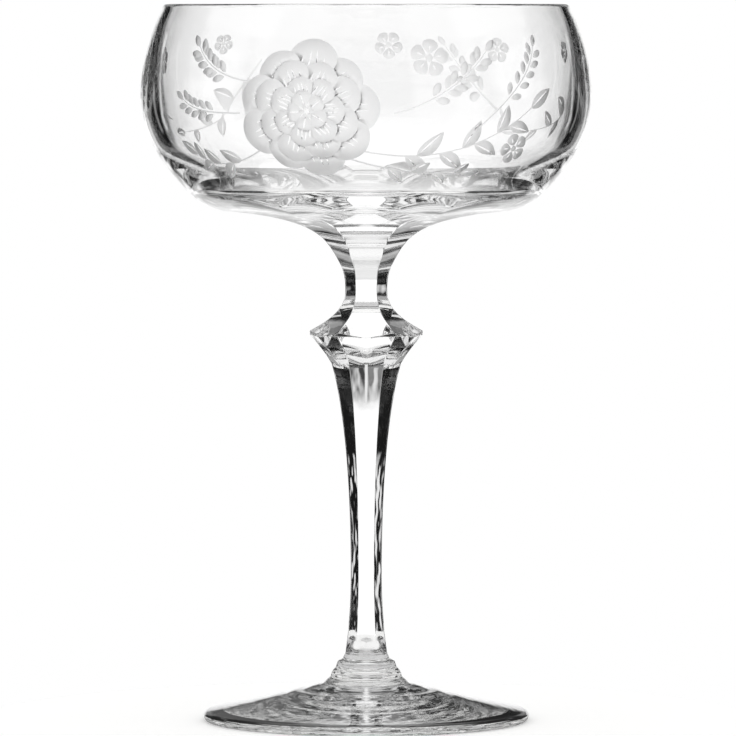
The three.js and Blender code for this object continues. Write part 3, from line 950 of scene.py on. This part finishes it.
def studio_world(looks):
    """White panels round the glass with black cards between them; the camera sees plain white."""
    world = bpy.data.worlds.new("studio")
    world.use_nodes = True
    tree = world.node_tree
    tree.nodes.clear()
    place = add_node(tree, "ShaderNodeTexCoord")
    axis = add_node(tree, "ShaderNodeSeparateXYZ", links={0: place.outputs["Generated"]})
    level_way = add_node(tree, "ShaderNodeVectorMath", {"operation": "MULTIPLY"}, {1: (1, 1, 0)}, {
        0: place.outputs["Generated"]})
    flat = add_node(tree, "ShaderNodeVectorMath", {"operation": "NORMALIZE"}, links={0: level_way})
    elevation = add_node(tree, "ShaderNodeMath", {"operation": "ARCSINE"}, links={0: axis.outputs["Z"]})
    sides = None
    for turn, half_width, bottom, top, soft, brightness in PANELS:
        way = (math.sin(math.radians(turn)), math.cos(math.radians(turn)), 0)
        facing = add_node(tree, "ShaderNodeVectorMath", {"operation": "DOT_PRODUCT"}, {1: way}, {0: flat})
        panel = add_node(tree, "ShaderNodeMapRange", SMOOTH, {
            "From Min": math.cos(math.radians(half_width + soft)),
            "From Max": math.cos(math.radians(max(half_width - soft, 0))),
            "To Max": brightness}, {"Value": facing.outputs["Value"]})
        for edge, below_edge in ((top, 1.0), (bottom, 0.0)):
            inside = add_node(tree, "ShaderNodeMapRange", SMOOTH, {
                "From Min": math.radians(edge - soft), "From Max": math.radians(edge + soft),
                "To Min": below_edge, "To Max": 1 - below_edge}, {"Value": elevation})
            panel = add_node(tree, "ShaderNodeMath", {"operation": "MULTIPLY"}, links={
                0: panel, 1: inside})
        if sides:
            panel = add_node(tree, "ShaderNodeMath", {"operation": "MAXIMUM"}, links={0: sides, 1: panel})
        sides = panel
    forward = add_node(tree, "ShaderNodeSeparateXYZ", links={0: flat})
    card_foot = add_node(tree, "ShaderNodeMapRange", SMOOTH, {
        "From Min": -0.2, "From Max": 0.2, "To Min": math.radians(20), "To Max": math.radians(95)},
        {"Value": forward.outputs["Y"]})
    over_card_foot = add_node(tree, "ShaderNodeMath", {"operation": "ADD"}, links={
        0: elevation, 1: card_foot})
    below = add_node(tree, "ShaderNodeMapRange", SMOOTH, {
        "From Min": -SOFT_EDGE, "From Max": SOFT_EDGE, "To Min": 1.0, "To Max": 0.0},
        {"Value": over_card_foot})
    ceiling = add_node(tree, "ShaderNodeMapRange", SMOOTH, {
        "From Min": CEILING_START, "From Max": looks.ceiling, "To Min": 0.01, "To Max": 1.0},
        {"Value": elevation})
    low = add_node(tree, "ShaderNodeMath", {"operation": "MAXIMUM"}, links={0: sides, 1: below})
    level = add_node(tree, "ShaderNodeMath", {"operation": "MAXIMUM"}, links={0: low, 1: ceiling})
    strength = add_node(tree, "ShaderNodeMix", {"data_type": "FLOAT"}, {"A": 1.0}, {
        "Factor": seen_in_glass(tree), "B": level})
    background = add_node(tree, "ShaderNodeBackground", values={"Color": (1, 1, 1, 1)}, links={
        "Strength": strength})
    add_node(tree, "ShaderNodeOutputWorld", links={"Surface": background})
    return world


# Middle of the painted shade on the floor in front of the stem, seen only through the glass, the distances
# from there over which it fades, and those from the stem over which the painted light under it fades
PAINTED_SHADE_CENTRE, PAINTED_SHADE_FADE, PAINTED_STEM_LIGHT_FADE = (0, -20, 0), (34, 54), (12, 28)
# Colour of the painted shade that the floor shows through the glass
PAINTED_SHADE_COLOUR = "#686868"
FLOOR_RADIUS, FLOOR_SIDES = 90, 96


def studio_paper(colour):
    """Matt seamless paper: a pale diffuse sheet, with an even glow of its own that keeps it white.

    Through the glass the paper shows painted shade: a darker colour and little glow in front of the stem,
    and a painted pool of light right under the stem.
    """
    material, tree = new_material("matt_paper_with_painted_shade")
    through = seen_in_glass(tree)
    place = add_node(tree, "ShaderNodeTexCoord")
    from_stem = add_node(tree, "ShaderNodeVectorMath", {"operation": "LENGTH"}, links={
        0: place.outputs["Object"]})
    # Distance from the middle of the painted shade in front of the stem
    from_painted_shade_centre = add_node(tree, "ShaderNodeVectorMath", {"operation": "DISTANCE"}, {
        1: [axis * MM for axis in PAINTED_SHADE_CENTRE]}, {0: place.outputs["Object"]})
    near = add_node(tree, "ShaderNodeMapRange", SMOOTH, {
        "From Min": PAINTED_SHADE_FADE[0] * MM, "From Max": PAINTED_SHADE_FADE[1] * MM, "To Min": 1.0, "To Max": 0.0}, {
        "Value": from_painted_shade_centre.outputs["Value"]})
    # Painted shade: only rays seen through or off the glass find the floor darker here
    painted_shade = add_node(tree, "ShaderNodeMath", {"operation": "MULTIPLY"}, links={0: through, 1: near})
    # Painted pool of light on the floor under the stem, standing in for light that the glass passes down
    painted_stem_light = add_node(tree, "ShaderNodeMapRange", SMOOTH, {
        "From Min": PAINTED_STEM_LIGHT_FADE[0] * MM, "From Max": PAINTED_STEM_LIGHT_FADE[1] * MM,
        "To Min": 0.6, "To Max": 0.02}, {"Value": from_stem.outputs["Value"]})
    # The floor's even glow, which inside the painted shade gives way to the painted light under the stem
    floor_glow_and_painted_light = add_node(tree, "ShaderNodeMix", {"data_type": "FLOAT"}, {2: 0.24}, {0: painted_shade, 3: painted_stem_light})
    # The floor's colour, darkened to the painted shade's colour inside the painted shade
    colour_and_painted_shade = add_node(tree, "ShaderNodeMix", {"data_type": "RGBA"}, {
        6: linear(colour), 7: linear(PAINTED_SHADE_COLOUR)}, {0: painted_shade})
    shader = add_node(tree, "ShaderNodeBsdfPrincipled", values={
        "Roughness": 0.9, "Emission Color": (1, 1, 1, 1)},
        links={"Base Color": colour_and_painted_shade.outputs[2], "Emission Strength": floor_glow_and_painted_light})
    add_node(tree, "ShaderNodeOutputMaterial", links={"Surface": shader})
    return material


# The camera's place and what it looks at, in metres, and its lens and sensor
CAMERA, CAMERA_AIM, LENS, SENSOR = (0.0004, -1.60, 0.166), (0.0004, 0, 0.0813), 340.5, 36
# How often light may be bent or thrown back in the glass before it is given up
BOUNCES = 64


class GLASS_OT_stage(bpy.types.Operator):
    """Sets the floor, the light and the camera"""
    bl_idname = "glass.stage"
    bl_label = "Stage"

    def execute(self, context):
        scene = context.scene
        looks = scene.glass_looks
        mesh = bpy.data.meshes.new("studio_floor")
        turns = np.linspace(0, 2 * math.pi, FLOOR_SIDES + 1)[:-1]
        mesh.from_pydata(ring(turns, np.full(FLOOR_SIDES, FLOOR_RADIUS * MM), 0).tolist(), [], [
            tuple(range(FLOOR_SIDES))])
        mesh.materials.append(studio_paper(looks.floor_colour))
        floor = bpy.data.objects.new("studio_floor", mesh)
        scene.collection.objects.link(floor)
        scene.world = studio_world(looks)
        camera = bpy.data.objects.new("camera", bpy.data.cameras.new("camera"))
        scene.collection.objects.link(camera)
        camera.data.sensor_width = SENSOR
        camera.data.lens = LENS
        camera.data.clip_end = 50
        camera.location = CAMERA
        aim = Vector(CAMERA_AIM) - camera.location
        camera.rotation_euler = aim.to_track_quat("-Z", "Y").to_euler()
        scene.camera = camera
        scene.view_settings.view_transform = "Standard"
        scene.cycles.max_bounces = BOUNCES
        scene.cycles.transmission_bounces = BOUNCES
        scene.cycles.glossy_bounces = BOUNCES
        scene.cycles.transparent_max_bounces = BOUNCES
        return {"FINISHED"}


class GLASS_PT_panel(bpy.types.Panel):
    """Lists the pieces of the glass"""
    bl_label = "Crystal cocktail glass"
    bl_space_type = "VIEW_3D"
    bl_region_type = "UI"
    bl_category = "Glass"

    def draw(self, context):
        for group in (context.scene.glass_sizes, context.scene.glass_looks):
            for name in group.__annotations__:
                self.layout.prop(group, name)
        for operator in OPERATORS:
            self.layout.operator(operator.bl_idname)


OPERATORS = (GLASS_OT_stage, GLASS_OT_foot, GLASS_OT_shaft, GLASS_OT_knop, GLASS_OT_bowl)
CLASSES = (GlassSizes, StudioLooks, *OPERATORS, GLASS_PT_panel)


def register():
    for kind in CLASSES:
        bpy.utils.register_class(kind)
    bpy.types.Scene.glass_sizes = bpy.props.PointerProperty(type=GlassSizes)
    bpy.types.Scene.glass_looks = bpy.props.PointerProperty(type=StudioLooks)


def unregister():
    del bpy.types.Scene.glass_looks
    del bpy.types.Scene.glass_sizes
    for kind in reversed(CLASSES):
        bpy.utils.unregister_class(kind)


def main():
    register()
    bpy.ops.glass.stage()
    bpy.ops.glass.foot()
    bpy.ops.glass.shaft()
    bpy.ops.glass.knop()
    bpy.ops.glass.bowl()


if __name__ == "__main__":
    main()
